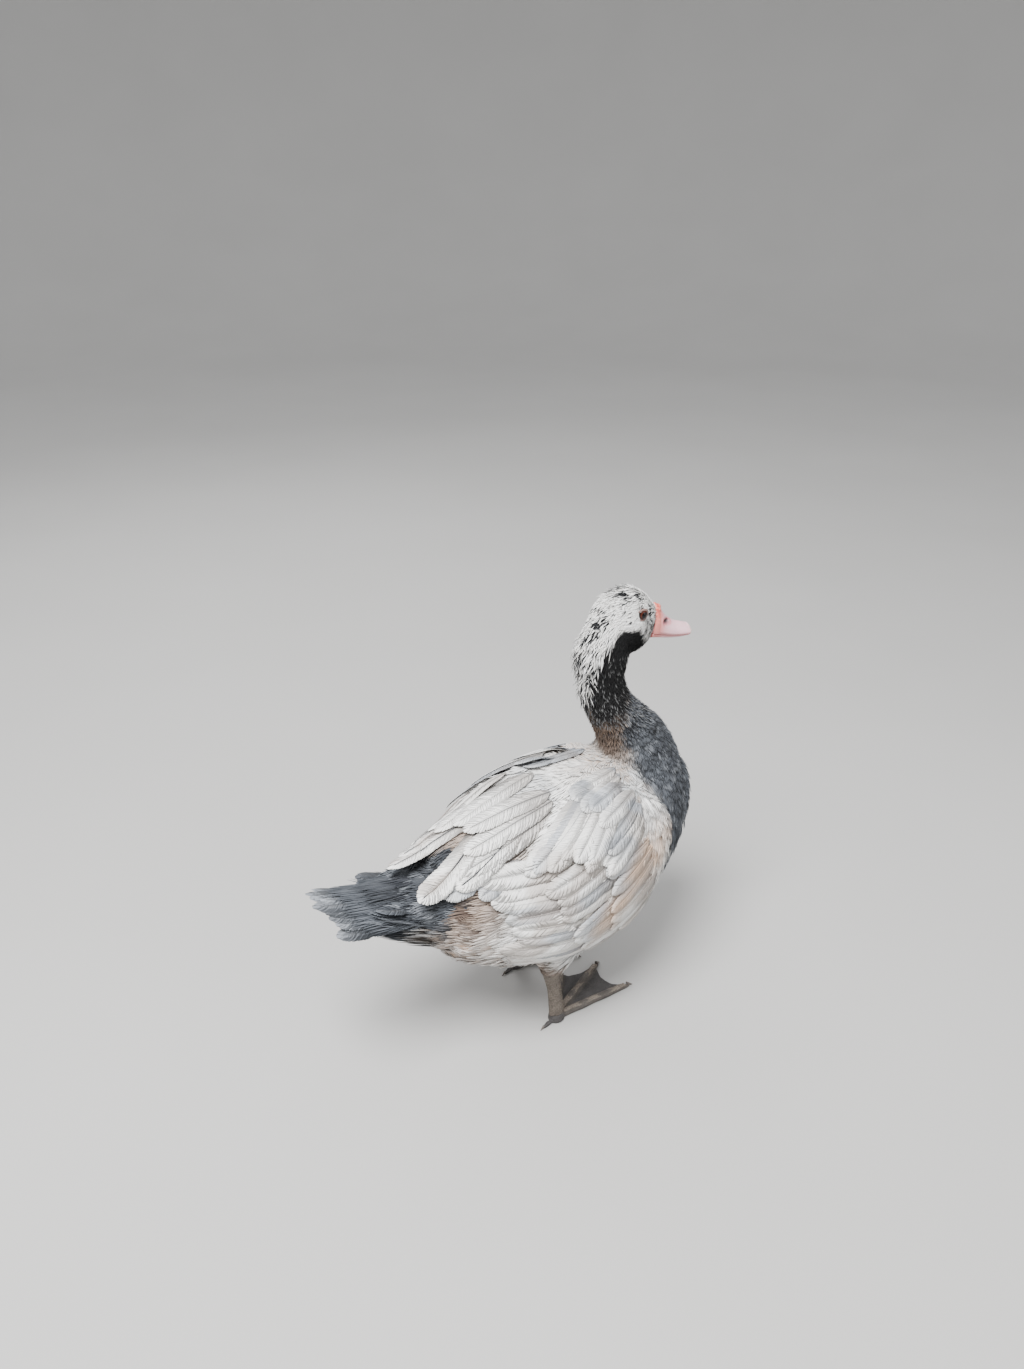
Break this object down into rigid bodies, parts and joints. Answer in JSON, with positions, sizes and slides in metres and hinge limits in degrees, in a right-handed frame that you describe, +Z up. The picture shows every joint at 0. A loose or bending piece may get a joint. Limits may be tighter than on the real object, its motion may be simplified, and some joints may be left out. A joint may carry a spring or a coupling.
{
  "type": "muscovy duck figure",
  "caption": "Life-size muscovy duck standing still, white and grey, with a shaggy nape, bare red skin at the bill's root and one wing hanging low.",
  "frame": {"origin": "middle of the bounding box in plan, on the floor under the feet", "axes": "+X towards the breast and bill, +Y to the bird's left, +Z up"},
  "size_m": [0.4302, 0.196, 0.4562],
  "materials": {
    "plumage_white": "matt, soft feather",
    "plumage_dark": "matt, soft feather",
    "plumage_slate": "matt, soft feather",
    "bill_horn": "smooth horn",
    "bare_skin": "warty bare skin",
    "eye": "wet gloss",
    "leg_skin": "scaly skin"
  },
  "bodies": {
    "root": {"bill_lower": "bill_horn", "bill_upper": "bill_horn", "caruncle": "bare_skin", "eye_left": "eye", "eye_right": "eye", "foot_left": "leg_skin", "foot_right": "leg_skin", "head": "plumage_white", "neck": "plumage_dark", "shank_left": "leg_skin", "shank_right": "leg_skin", "tail": "plumage_slate", "thigh_left": "plumage_white", "thigh_right": "plumage_white", "torso": "plumage_white", "wing_left": "plumage_white", "wing_right": "plumage_white"}
  },
  "joints": []
}
